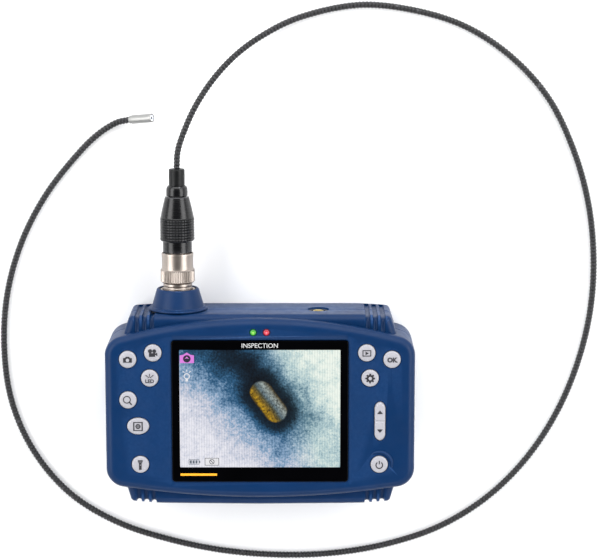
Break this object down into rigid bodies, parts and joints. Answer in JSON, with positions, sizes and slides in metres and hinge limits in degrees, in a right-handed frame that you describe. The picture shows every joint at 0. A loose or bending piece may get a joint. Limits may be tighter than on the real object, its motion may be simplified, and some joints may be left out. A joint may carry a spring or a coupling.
{
  "type": "inspection camera",
  "caption": "Hand-held inspection camera with a colour display, push keys, a push-pull probe socket and a flexible probe cable with a small lit camera head.",
  "frame": {"origin": "centre of the flat back face, under the middle of the display window; the unit lies on this face", "axes": "+Z out of the display, +X to the right of the display, +Y towards the end with the probe socket"},
  "size_m": [0.268, 0.2536, 0.037],
  "materials": {
    "casing": "satin moulded ABS, navy blue",
    "rubber": "soft black rubber",
    "battery": "shrink-wrapped cell pack",
    "window": "hard-coated clear window with black printed border",
    "display": "colour display panel in a thin metal frame",
    "board": "green solder mask",
    "silicone": "grey silicone key mat",
    "steel": "plated steel",
    "lamp_green": "green indicator lens, lit",
    "lamp_red": "red indicator lens, lit",
    "key": "pale grey moulded key with dark printed symbol",
    "nickel": "satin nickel plate",
    "black_plastic": "moulded insulator",
    "brass": "turned brass",
    "black_anodised": "black anodised, knurled grip band",
    "cable": "black jacketed coiled-steel gooseneck cable",
    "head_steel": "satin stainless tube",
    "light_ring": "white ring of small lamps",
    "lens": "small camera lens"
  },
  "bodies": {
    "handset": {"front_shell": "casing", "rear_shell": "casing", "battery_pack": "battery", "display_window": "window", "display_gasket": "rubber", "display_module": "display", "main_board": "board", "key_board_left": "board", "key_board_right": "board", "key_mat_left": "silicone", "key_mat_right": "silicone", "usb_port": "steel", "card_slot": "steel", "lamp_green": "lamp_green", "lamp_red": "lamp_red", "key_up_down_pin": "steel", "case_screw_left_top": "steel", "case_screw_left_bottom": "steel", "case_screw_right_top": "steel", "case_screw_right_bottom": "steel", "socket_shell": "nickel", "socket_nut": "nickel", "socket_collar": "casing", "socket_trim_ring": "nickel", "socket_insert": "black_plastic", "charge_jack": "black_plastic", "charge_jack_bushing": "brass"},
    "battery_door": {"battery_door": "casing"},
    "port_cover": {"port_cover": "rubber"},
    "sleeve": {"locking_sleeve": "nickel"},
    "up_down_key": {"key_up_down": "key"},
    "probe_plug": {"plug_barrel": "nickel", "plug_insert": "black_plastic", "sleeve_spring": "steel", "plug_grip": "black_anodised", "clamp_nut": "black_anodised", "strain_relief": "rubber", "probe_cable": "cable", "head_housing": "head_steel", "head_light_ring": "light_ring", "head_lens": "lens"},
    "photo_key": {"key_photo": "key"},
    "video_key": {"key_video": "key"},
    "lamp_key": {"key_lamp": "key"},
    "zoom_key": {"key_zoom": "key"},
    "torch_key": {"key_torch": "key"},
    "play_key": {"key_play": "key"},
    "ok_key": {"key_ok": "key"},
    "setup_key": {"key_setup": "key"},
    "power_key": {"key_power": "key"},
    "frame_key": {"key_frame": "key"}
  },
  "joints": [
    {"name": "probe_pull", "type": "slide", "parent": "handset", "child": "probe_plug", "axis": [0, 1, 0], "range_m": [0, 0.014]},
    {"name": "sleeve_release", "type": "slide", "parent": "probe_plug", "child": "sleeve", "axis": [0, 1, 0], "range_m": [0, 0.0025], "stiffness_N_per_m": 600},
    {"name": "photo_press", "type": "slide", "parent": "handset", "child": "photo_key", "axis": [0, 0, -1], "range_m": [0, 0.0008], "stiffness_N_per_m": 500},
    {"name": "video_press", "type": "slide", "parent": "handset", "child": "video_key", "axis": [0, 0, -1], "range_m": [0, 0.0008], "stiffness_N_per_m": 500},
    {"name": "lamp_press", "type": "slide", "parent": "handset", "child": "lamp_key", "axis": [0, 0, -1], "range_m": [0, 0.0008], "stiffness_N_per_m": 500},
    {"name": "zoom_press", "type": "slide", "parent": "handset", "child": "zoom_key", "axis": [0, 0, -1], "range_m": [0, 0.0008], "stiffness_N_per_m": 500},
    {"name": "torch_press", "type": "slide", "parent": "handset", "child": "torch_key", "axis": [0, 0, -1], "range_m": [0, 0.0008], "stiffness_N_per_m": 500},
    {"name": "play_press", "type": "slide", "parent": "handset", "child": "play_key", "axis": [0, 0, -1], "range_m": [0, 0.0008], "stiffness_N_per_m": 500},
    {"name": "ok_press", "type": "slide", "parent": "handset", "child": "ok_key", "axis": [0, 0, -1], "range_m": [0, 0.0008], "stiffness_N_per_m": 500},
    {"name": "setup_press", "type": "slide", "parent": "handset", "child": "setup_key", "axis": [0, 0, -1], "range_m": [0, 0.0008], "stiffness_N_per_m": 500},
    {"name": "power_press", "type": "slide", "parent": "handset", "child": "power_key", "axis": [0, 0, -1], "range_m": [0, 0.0008], "stiffness_N_per_m": 500},
    {"name": "frame_press", "type": "slide", "parent": "handset", "child": "frame_key", "axis": [0, 0, -1], "range_m": [0, 0.0008], "stiffness_N_per_m": 500},
    {"name": "up_down_rock", "type": "hinge", "parent": "handset", "child": "up_down_key", "pos_m": [0.0525, -0.0043, 0.0332], "axis": [1, 0, 0], "range_deg": [-3.5, 3.5], "stiffness_Nm_per_rad": 0.05},
    {"name": "battery_door_slide", "type": "slide", "parent": "handset", "child": "battery_door", "axis": [0, -1, 0], "range_m": [0, 0.014]},
    {"name": "port_cover_swing", "type": "hinge", "parent": "handset", "child": "port_cover", "pos_m": [0.0675, -0.0145, 0.0202], "axis": [0, 1, 0], "range_deg": [0, 105]}
  ]
}
